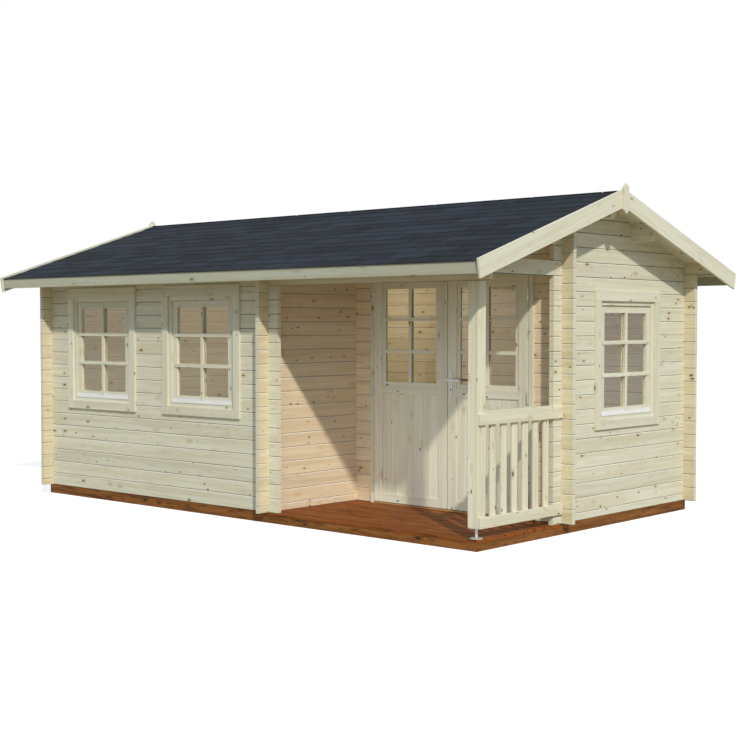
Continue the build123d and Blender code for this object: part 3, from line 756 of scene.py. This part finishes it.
def shingle_tree():
    """Rows and Columns of tabs, each row half a tab over, cut off at Low X and High X."""
    tree, given, result = repeating_tree("shingle_courses", {
        "Tab": "Object", "Rows": "Int", "Columns": "Int", "Course": "Float", "Tab pitch": "Float",
        "Low X": "Float", "High X": "Float", "Tilt": "Vector", "Origin": "Vector"})
    index = add(tree, "GeometryNodeInputIndex")[0]
    column, row = grid_cell(index, given["Columns"])
    over = times(calc("MODULO", row, 2.0), 0.5)
    across = plus(plus(column, over), chance(given["Seed"], -0.02, 0.02))
    x = plus(given["Low X"], times(across, given["Tab pitch"]))
    y = times(times(row, given["Course"]), -1.0)
    count = times(given["Columns"], given["Rows"])
    placed = on_points(given["Tab"], count, joined(x, y))
    tint = chance(plus(given["Seed"], 5.0), 0.0, 1.0)
    tinted = after("GeometryNodeStoreNamedAttribute",
                   {0: placed, "Name": "tint", "Value": tint}, data_type="FLOAT",
                   domain="INSTANCE")
    real = after("GeometryNodeRealizeInstances", {0: tinted[0]})
    x, y, z = xyz(add(tree, "GeometryNodeInputPosition")[0])
    kept_x = calc("MINIMUM", calc("MAXIMUM", x, given["Low X"]), given["High X"])
    cut = after("GeometryNodeSetPosition", {0: real[0], "Position": joined(kept_x, y, z)})
    tilted = after("GeometryNodeTransform", {0: cut[0], "Rotation": given["Tilt"],
                                             "Translation": given["Origin"]})
    put_out(tilted[0], given, result)
    return tree


def shingle_tab(width, course, lap, thick, thin):
    """One tab in the slope's own plane: thick at its lower edge, thin where the next covers it."""
    bm = bmesh.new()
    half, side_slant, nose = width / 2, 0.002, 0.004
    steps = ((lap, thin), (-course * 0.5, (thick + thin) / 2), (nose - course, thick),
             (-course, thick * 0.72))
    drawn(bm, *[[(-half, y, 0.0), (side_slant - half, y, high), (half - side_slant, y, high),
                 (half, y, 0.0)] for y, high in steps])
    return mesh_from(bm, "shingle_tab")


COURSES, TAB_PITCH, TAB_GAP, TAB_LAP = 13, 0.333, 0.006, 0.02
TAB_THICK, TAB_THIN, TABS_OVER_FELT = 0.0038, 0.0012, 0.0008
course_height = COVER_EDGE_Y * SLOPE_FACTOR / COURSES
tab = bpy.data.objects.new("shingle_tab", shingle_tab(TAB_PITCH - TAB_GAP, course_height,
                                                      TAB_LAP, TAB_THICK, TAB_THIN))
shingle_courses = shingle_tree()
underlay_z = RIDGE_UNDER_Z + BOARD_THICK * SLOPE_FACTOR
for side, half_turn, seed in (("front", 0.0, 21), ("back", math.pi, 22)):
    grown(side + "_shingles", shingle_courses, seed, shingles, {
        "Tab": tab, "Rows": COURSES, "Columns": math.ceil(2 * BARGE_INNER_X / TAB_PITCH) + 1,
        "Course": course_height, "Tab pitch": TAB_PITCH, "Low X": -BARGE_INNER_X + 0.001,
        "High X": BARGE_INNER_X - 0.001, "Tilt": (ROOF_PITCH, 0.0, half_turn),
        "Origin": (0.0, 0.0, underlay_z + TABS_OVER_FELT)})

# The felt under the tabs closes the slots between them
felt_thick = 0.0012 * SLOPE_FACTOR
felt_edge_z = underlay_z - math.tan(ROOF_PITCH) * COVER_EDGE_Y
for side, out in (("front", -1.0), ("back", 1.0)):
    outline = [(0.0, underlay_z), (out * COVER_EDGE_Y, felt_edge_z),
               (out * COVER_EDGE_Y, felt_edge_z + felt_thick), (0.0, underlay_z + felt_thick)]
    bm = bmesh.new()
    drawn(bm, [(-BARGE_INNER_X, y, z) for y, z in outline],
          [(BARGE_INNER_X, y, z) for y, z in outline])
    shown(side + "_felt", mesh_from(bm, side + "_felt"), shingles, "cabin")

CAPS, CAP_REACH, CAP_LAP, CAP_TILT = 36, 0.125, 0.03, 0.0022
CAP_TOP, CAP_UNDER = 0.0075, 0.0035
cap_edge_z = underlay_z - math.tan(ROOF_PITCH) * CAP_REACH
cap_outline = [(-CAP_REACH, cap_edge_z + CAP_UNDER), (0.0, underlay_z + CAP_UNDER),
               (CAP_REACH, cap_edge_z + CAP_UNDER), (CAP_REACH, cap_edge_z + CAP_TOP),
               (0.0, underlay_z + CAP_TOP), (-CAP_REACH, cap_edge_z + CAP_TOP)]
cap_pitch = 2 * BARGE_INNER_X / CAPS
bm = bmesh.new()
cap_tint = bm.verts.layers.float.new("tint")
for k in range(CAPS):
    x0 = -BARGE_INNER_X + k * cap_pitch
    x1 = min(x0 + cap_pitch + CAP_LAP, BARGE_INNER_X)
    tint = random.random()
    for v in drawn(bm, [(x0, y, z) for y, z in cap_outline],
                   [(x1, y, z - CAP_TILT) for y, z in cap_outline]):
        v[cap_tint] = tint
shown("ridge_caps", mesh_from(bm, "ridge_caps"), shingles, "cabin")


# Windows.
# Each has casing boards outside, a frame with a stop in the wall, and a fixed sash with one
# pane. Thin bars lie on both faces of the pane, and a white drip bar covers the sill's joint.

def add_board(bm, layers, low, high, along, place):
    """One board as a box from low to high in place's own frame, its grain along 0, 1 or 2."""
    corners = [Vector((x, y, z)) for x in (low[0], high[0]) for y in (low[1], high[1])
               for z in (low[2], high[2])]
    verts = [bm.verts.new(place @ c) for c in corners]
    faces = [bm.faces.new([verts[k] for k in quad]) for quad in
             ((0, 1, 3, 2), (4, 6, 7, 5), (0, 4, 5, 1), (2, 3, 7, 6), (0, 2, 6, 4), (1, 5, 7, 3))]
    for face in faces:
        face.normal_update()
    direction = (place.to_3x3() @ unit(along)).normalized()
    mark_grain(verts, faces, layers, direction, random.random() * 3.0)


def boards_piece(name, rows, places, material=spruce_boards, body="cabin", replaced=(),
                 bevel=0.0012):
    """A piece made of boards: rows of (low corner, high corner, grain axis) at each place."""
    bm = bmesh.new()
    layers = grain_layers(bm)
    for place in places:
        for low, high, along in rows:
            add_board(bm, layers, low, high, along, place)
    bmesh.ops.recalc_face_normals(bm, faces=bm.faces)
    shown(name, mesh_from(bm, name), material, body, replaced, bevel)


BOARD_JOINT = 0.0004


def ring_boards(width, bottom, height, border, y0, y1, centre=0.0):
    """Four boards of a frame: posts over the full height, and rails between them."""
    top, left, right = bottom + height, centre - width / 2, centre + width / 2
    start, stop = left + border + BOARD_JOINT, right - border - BOARD_JOINT
    return [((left, y0, bottom), (left + border, y1, top), 2),
            ((right - border, y0, bottom), (right, y1, top), 2),
            ((start, y0, bottom), (stop, y1, bottom + border), 0),
            ((start, y0, top - border), (stop, y1, top), 0)]


CASING_INNER_W, CASING_INNER_H = 0.831, 0.942
CASING_SIDE, CASING_BOTTOM, CASING_TOP, CASING_THICK = 0.076, 0.074, 0.092, 0.020
FRAME_VISIBLE, FRAME_BEHIND, FRAME_DEPTH, FRAME_STOP = 0.035, 0.020, 0.060, 0.012
SASH_GAP, SASH_BORDER, SASH_THICK, SASH_BACK = 0.002, 0.056, 0.034, 0.0477
BAR_WIDTH, BAR_PROUD, BAR_LAP, BAR_REBATE = 0.030, 0.0075, 0.034, 0.004
BAR_LEVELS, HALF_GLASS = (0.426, 0.686), 0.0025
FRONT_FACE_Y, FRONT_SILL_Z, FRONT_WINDOWS_X = -1.485, 0.823, (-1.735, -0.374)
GABLE_FACE_X, GABLE_WINDOW_Y, GABLE_SILL_Z = 2.545, 0.515, 0.769
sash_w = CASING_INNER_W - 2 * FRAME_VISIBLE - 2 * SASH_GAP
sash_h = CASING_INNER_H - 2 * FRAME_VISIBLE - 2 * SASH_GAP
sash_bottom = CASING_BOTTOM + FRAME_VISIBLE + SASH_GAP
sash_front = SASH_BACK - SASH_THICK
sash_middle = SASH_BACK - SASH_THICK / 2


half, inner = CASING_INNER_W / 2 + CASING_SIDE, CASING_INNER_W / 2
top = CASING_BOTTOM + CASING_INNER_H
casing_rows = [((-half, -CASING_THICK, top), (half, 0.0, top + CASING_TOP), 0),
               ((-half, -CASING_THICK, 0.0), (-inner, 0.0, top - BOARD_JOINT), 2),
               ((inner, -CASING_THICK, 0.0), (half, 0.0, top - BOARD_JOINT), 2),
               ((-inner + BOARD_JOINT, -CASING_THICK, 0.0),
                (inner - BOARD_JOINT, 0.0, CASING_BOTTOM), 0)]
border = FRAME_BEHIND + FRAME_VISIBLE
width, height = CASING_INNER_W + 2 * FRAME_BEHIND, CASING_INNER_H + 2 * FRAME_BEHIND
bottom = CASING_BOTTOM - FRAME_BEHIND
window_rows = (ring_boards(width, bottom, height, border, 0.0, FRAME_DEPTH)
               + ring_boards(width - 2 * border, bottom + border, height - 2 * border,
                             FRAME_STOP, FRAME_DEPTH - FRAME_STOP, FRAME_DEPTH)
               + ring_boards(sash_w, sash_bottom, sash_h, SASH_BORDER, sash_front, SASH_BACK))


def bar_rows(width, bottom, height, levels, faces, centre=0.0, proud=BAR_PROUD, lap=BAR_LAP):
    """Bars on both faces of a pane. faces holds (face of the border, face of the glass) pairs.
    The rails stand a little further out than the upright, so that their faces never meet."""
    rows = []
    for face, glass in faces:
        out = -1.0 if face < glass else 1.0
        for back, front, half_width, extra, tip in (
                (face, face + out * proud, BAR_WIDTH / 2, lap, 0.0012),
                (glass, face, BAR_WIDTH / 2 - BAR_REBATE, 0.0, 0.0004)):
            y0, y1 = sorted((back, front))
            rows.append(((centre - half_width, y0, bottom - extra),
                         (centre + half_width, y1, bottom + height + extra), 2))
            y0, y1 = sorted((back, front + out * tip))
            rows += [((centre - width / 2 - extra, y0, level - half_width),
                      (centre + width / 2 + extra, y1, level + half_width), 0)
                     for level in levels]
    return rows


window_bars = bar_rows(sash_w - 2 * SASH_BORDER, sash_bottom + SASH_BORDER,
                       sash_h - 2 * SASH_BORDER, BAR_LEVELS,
                       ((sash_front, sash_middle - HALF_GLASS),
                        (SASH_BACK, sash_middle + HALF_GLASS)))

# The drip bar: a bent white metal strip from the sash out over the frame's lower member
white_metal = plain_finish("white_coated_metal", 9.0, 4.0, srgb(236, 235, 230),
                           srgb(218, 217, 212), (0.28, 0.42))
drip_profile = ((sash_front - 0.0005, 0.148), (sash_front - 0.0025, 0.148),
                (sash_front - 0.004, 0.138), (-0.004, 0.110), (-0.004, 0.104), (-0.0025, 0.104),
                (-0.0025, 0.108), (sash_front - 0.0005, 0.134))


def drip_bar(name, places):
    bm = bmesh.new()
    half = CASING_INNER_W / 2 - FRAME_VISIBLE - 0.001
    for place in places:
        drawn(bm, [place @ Vector((-half, y, z)) for y, z in drip_profile],
              [place @ Vector((half, y, z)) for y, z in drip_profile])
    shown(name, mesh_from(bm, name), white_metal, "cabin", bevel=0.0006)


front_places = [Matrix.Translation((x, FRONT_FACE_Y, FRONT_SILL_Z)) for x in FRONT_WINDOWS_X]
gable_places = [Matrix.Translation((GABLE_FACE_X, GABLE_WINDOW_Y, GABLE_SILL_Z))
                @ Matrix.Rotation(math.pi / 2, 4, "Z")]
for side, casing, frame_node, places in (
        ("front", "front_window_casings", "front_window_frames", front_places),
        ("gable", "gable_window_casing", "gable_window_frame", gable_places)):
    boards_piece(side + "_window_casing_boards", casing_rows, places, replaced=(casing,),
                 bevel=0.002)
    boards_piece(side + "_window_timber", window_rows, places, replaced=(frame_node,))
    boards_piece(side + "_window_bars", window_bars, places, bevel=0.0015)
drip_bar("front_drip_bars", front_places)
drip_bar("gable_drip_bar", gable_places)


# Glass.
# Clear float glass that lets the sun through to the room and mirrors the pale sky.

glass, tree = empty_material("window_glass")
wave = noise(add(tree, "TexCoord")["Object"], 2.4, 1.0)
relief = after("Bump", {"Height": wave, "Distance": 0.002, "Strength": 0.25})
pane = after("BsdfPrincipled",
             {"Base Color": srgb(244, 238, 228), "Roughness": 0.015, "IOR": 1.62,
              "Specular Tint": srgb(255, 240, 218), "Transmission Weight": 1.0,
              "Normal": relief[0]})
clear = add(tree, "BsdfTransparent", {"Color": (0.5, 0.5, 0.49, 1.0)})
path = add(tree, "LightPath")
lets = after("MixShader", {0: path["Is Shadow Ray"], 1: pane[0], 2: clear[0]})
after("OutputMaterial", {"Surface": lets[0]})
finish_nodes(glass, "front_window_glass", "gable_window_glass", "left_door_glass",
             "right_door_glass")


# Door frame.
# Jambs and head with a stop behind the leaves, an architrave outside and a hardwood threshold.

DOOR_FACE, PORCH_Y, JAMB_BACK, STOP_FRONT = -0.457, -0.435, -0.389, -0.412
DOOR_HALF, DOOR_HEAD, THRESHOLD_TOP = 0.798, 2.018, 0.094
ARCHITRAVE, JAMB_THICK, DOOR_STOP = 0.037, 0.021, 0.014
DOOR_X, HEAD_JOINT = 1.461, 0.0003
door_places = [Matrix.Translation((DOOR_X, 0.0, 0.0))]


def three_sided(half, top, border, y0, y1):
    return [((-half - border, y0, LOGS_START), (-half, y1, top - HEAD_JOINT), 2),
            ((half, y0, LOGS_START), (half + border, y1, top - HEAD_JOINT), 2),
            ((-half - border, y0, top), (half + border, y1, top + border), 0)]


boards_piece("door_frame_boards",
             three_sided(DOOR_HALF, DOOR_HEAD, ARCHITRAVE, DOOR_FACE, PORCH_Y)
             + three_sided(DOOR_HALF, DOOR_HEAD, JAMB_THICK, PORCH_Y, JAMB_BACK)
             + three_sided(DOOR_HALF - DOOR_STOP, DOOR_HEAD - DOOR_STOP, DOOR_STOP, STOP_FRONT,
                           JAMB_BACK), door_places, replaced=("door_frame",), bevel=0.0015)
threshold_wood = board_material("oiled_threshold", dict(SPRUCE, Pale=srgb(196, 160, 110),
                                                        Dark=srgb(140, 100, 58), Knots=0.1))
boards_piece("threshold", [((-DOOR_HALF, DOOR_FACE, LOGS_START),
                            (DOOR_HALF, JAMB_BACK, THRESHOLD_TOP), 0)],
             door_places, threshold_wood, bevel=0.002)


# Door leaves.
# Stiles and rails of spruce, a sunk panel of upright boards below, a pane with beads and thin
# bars above. The right leaf carries the lock and the levers.

LEAF_W, LEAF_BACK, LEAF_BOTTOM, LEAF_TOP = 0.7895, -0.417, 0.099, 2.013
LEAF_BORDER, BOTTOM_RAIL, PANEL_TOP, GLAZING_BOTTOM = 0.090, 0.171, 1.014, 1.084
GLAZING_TOP, BEAD, BEAD_SUNK, PANEL_SUNK, PANEL_BOARDS = 1.932, 0.035, 0.008, 0.009, 7
LEAF_BAR_LEVELS, LEAF_BAR_PROUD, LEAF_BAR_LAP = (1.375, 1.643), 0.0055, 0.012
LEFT_LEAF_X, RIGHT_LEAF_X = 0.668, 1.4645
leaf_middle_y = (DOOR_FACE + LEAF_BACK) / 2
bead_front, bead_back = DOOR_FACE + BEAD_SUNK, LEAF_BACK - BEAD_SUNK


# One leaf in its own frame, X from its left edge
inner, outer = LEAF_BORDER, LEAF_W - LEAF_BORDER
leaf_rows = [((0.0, DOOR_FACE, LEAF_BOTTOM), (inner, LEAF_BACK, LEAF_TOP), 2),
             ((outer, DOOR_FACE, LEAF_BOTTOM), (LEAF_W, LEAF_BACK, LEAF_TOP), 2)]
leaf_rows += [((inner + BOARD_JOINT, DOOR_FACE, low), (outer - BOARD_JOINT, LEAF_BACK, high), 0)
              for low, high in ((LEAF_BOTTOM, BOTTOM_RAIL), (PANEL_TOP, GLAZING_BOTTOM),
                                (GLAZING_TOP, LEAF_TOP))]
leaf_rows += ring_boards(outer - inner, GLAZING_BOTTOM, GLAZING_TOP - GLAZING_BOTTOM, BEAD,
                         bead_front, bead_back, LEAF_W / 2)
leaf_bars = bar_rows(LEAF_W - 2 * (LEAF_BORDER + BEAD), GLAZING_BOTTOM + BEAD,
                     GLAZING_TOP - GLAZING_BOTTOM - 2 * BEAD, LEAF_BAR_LEVELS,
                     ((bead_front, leaf_middle_y - HALF_GLASS),
                      (bead_back, leaf_middle_y + HALF_GLASS)),
                     LEAF_W / 2, LEAF_BAR_PROUD, LEAF_BAR_LAP)


def upright_board(name, width, depth, height, chamfer):
    """An upright board with four chamfered edges, its origin below its middle."""
    half, deep = width / 2, depth / 2
    outline = [(-half, deep - chamfer), (-half, chamfer - deep), (chamfer - half, -deep),
               (half - chamfer, -deep), (half, chamfer - deep), (half, deep - chamfer),
               (half - chamfer, deep), (chamfer - half, deep)]
    return drawn_board(name, [(x, y, 0.0) for x, y in outline],
                       [(x, y, height) for x, y in outline], 2)


panel_pitch = (LEAF_W - 2 * LEAF_BORDER) / PANEL_BOARDS
panel_board = upright_board("panel_board", panel_pitch - BOARD_JOINT,
                            LEAF_BACK - DOOR_FACE - 2 * PANEL_SUNK, PANEL_TOP - BOTTOM_RAIL, 0.003)
for side, left_edge, seed in (("left", LEFT_LEAF_X, 31), ("right", RIGHT_LEAF_X, 32)):
    places = [Matrix.Translation((left_edge, 0.0, 0.0))]
    body = side + "_door"
    boards_piece(side + "_leaf_timber", leaf_rows, places, body=body,
                 replaced=(side + "_door_leaf",), bevel=0.0018)
    grown(side + "_leaf_panel", board_row, seed, spruce_boards, {
        "Board": panel_board, "Count": PANEL_BOARDS, "Pitch": panel_pitch, "Turn": (0.0, 0.0, 0.0),
        "Origin": (left_edge + LEAF_BORDER + panel_pitch / 2, leaf_middle_y, BOTTOM_RAIL)}, body)
    boards_piece(side + "_leaf_bars", leaf_bars, places, body=body, bevel=0.0014)


# Hinges, lock plates, levers and the post's foot.
# Zinc plated steel hinges and foot, and satin metal door furniture. They keep the CAD's shape
# with merged points, so that the round faces are smooth.

satin = plain_finish("satin_metal", (900.0, 900.0, 40.0), 2.0, srgb(206, 206, 203),
                     srgb(182, 182, 180), (0.30, 0.42), fixed={"Metallic": 0.6})
for node, name, metal, body, slot, bevel in (
        ("frame_hinges", "frame_hinge_halves", zinc, "cabin", "zinc_steel", 0.0008),
        ("left_door_hinges", "left_hinge_halves", zinc, "left_door", "zinc_steel", 0.0008),
        ("right_door_hinges", "right_hinge_halves", zinc, "right_door", "zinc_steel", 0.0008),
        ("post_foot", "post_foot_steel", zinc, "cabin", "zinc_steel", 0.0006),
        ("lock_plates", "lock_plates_satin", satin, "right_door", "satin_metal", 0.001),
        ("door_levers", "levers_satin", satin, "lever", "satin_metal", 0.0006)):
    shown(name, mesh_from(merged_copy(node), name), metal, body, (node,), bevel, True)

# The keyhole: a thin dark sheet on both plates, painted shade in the shape of a round hole with a
# slot below it
keyhole_painted_shade = plain_finish("keyhole_painted_shade", 400.0, 2.0, srgb(18, 18, 18), srgb(34, 33, 31),
                            fixed={"Roughness": 0.7, "Specular IOR Level": 0.1})
LOCK_X, KEYHOLE_Z, HOLE_RADIUS, SLOT_HALF, SLOT_LOW = 1.5015, 1.0765, 0.006, 0.003, -0.016
PLATE_THICK, SHADE_SHEET_HALF, HOLE_STEPS = 0.006, 0.0002, 14
hole_start = -math.acos(SLOT_HALF / HOLE_RADIUS)
hole_angles = [hole_start + k * (math.pi - 2 * hole_start) / HOLE_STEPS
               for k in range(HOLE_STEPS + 1)]
keyhole_outline = ([(SLOT_HALF, SLOT_LOW)]
                   + [(HOLE_RADIUS * math.cos(a), HOLE_RADIUS * math.sin(a)) for a in hole_angles]
                   + [(-SLOT_HALF, SLOT_LOW)])
bm = bmesh.new()
for plate_y in (DOOR_FACE - PLATE_THICK, LEAF_BACK + PLATE_THICK):
    drawn(bm, [(LOCK_X + x, plate_y - SHADE_SHEET_HALF, KEYHOLE_Z + z) for x, z in keyhole_outline],
          [(LOCK_X + x, plate_y + SHADE_SHEET_HALF, KEYHOLE_Z + z) for x, z in keyhole_outline])
shown("keyholes", mesh_from(bm, "keyholes"), keyhole_painted_shade, "right_door")


# Porch railing.
# Two rails outside the upright slats and one inside them, screwed through from both sides.

RAIL_OUT, RAIL_FACE, SLAT_INNER, RAIL_IN = 2.567, 2.545, 2.525, 2.503
RAIL_FRONT_Y, RAIL_BACK_Y, INNER_FRONT_Y, INNER_BACK_Y = -1.475, -0.439, -1.385, -0.539
UPPER_RAIL, LOWER_RAIL, INNER_RAIL = (0.891, 0.969), (0.159, 0.240), (0.909, 0.987)
SLAT_WIDTH, SLAT_PITCH, FIRST_SLAT_Y, SLAT_COUNT = 0.065, 0.133, -1.2945, 6
SLAT_LOW, SLAT_HIGH = 0.171, 0.957
boards_piece("railing_rails", [
    ((RAIL_FACE, RAIL_FRONT_Y, UPPER_RAIL[0]), (RAIL_OUT, RAIL_BACK_Y, UPPER_RAIL[1]), 1),
    ((RAIL_FACE, RAIL_FRONT_Y, LOWER_RAIL[0]), (RAIL_OUT, RAIL_BACK_Y, LOWER_RAIL[1]), 1),
    ((RAIL_IN, INNER_FRONT_Y, INNER_RAIL[0]), (SLAT_INNER, INNER_BACK_Y, INNER_RAIL[1]), 1)],
    [Matrix()], porch_timber, replaced=("porch_railing",), bevel=0.003)
slat = upright_board("slat", SLAT_WIDTH, RAIL_FACE - SLAT_INNER, SLAT_HIGH - SLAT_LOW, 0.003)
grown("railing_slats", board_row, 41, porch_timber, {
    "Board": slat, "Count": SLAT_COUNT, "Pitch": SLAT_PITCH, "Turn": (0.0, 0.0, math.pi / 2),
    "Origin": ((SLAT_INNER + RAIL_FACE) / 2, FIRST_SLAT_Y, SLAT_LOW)})
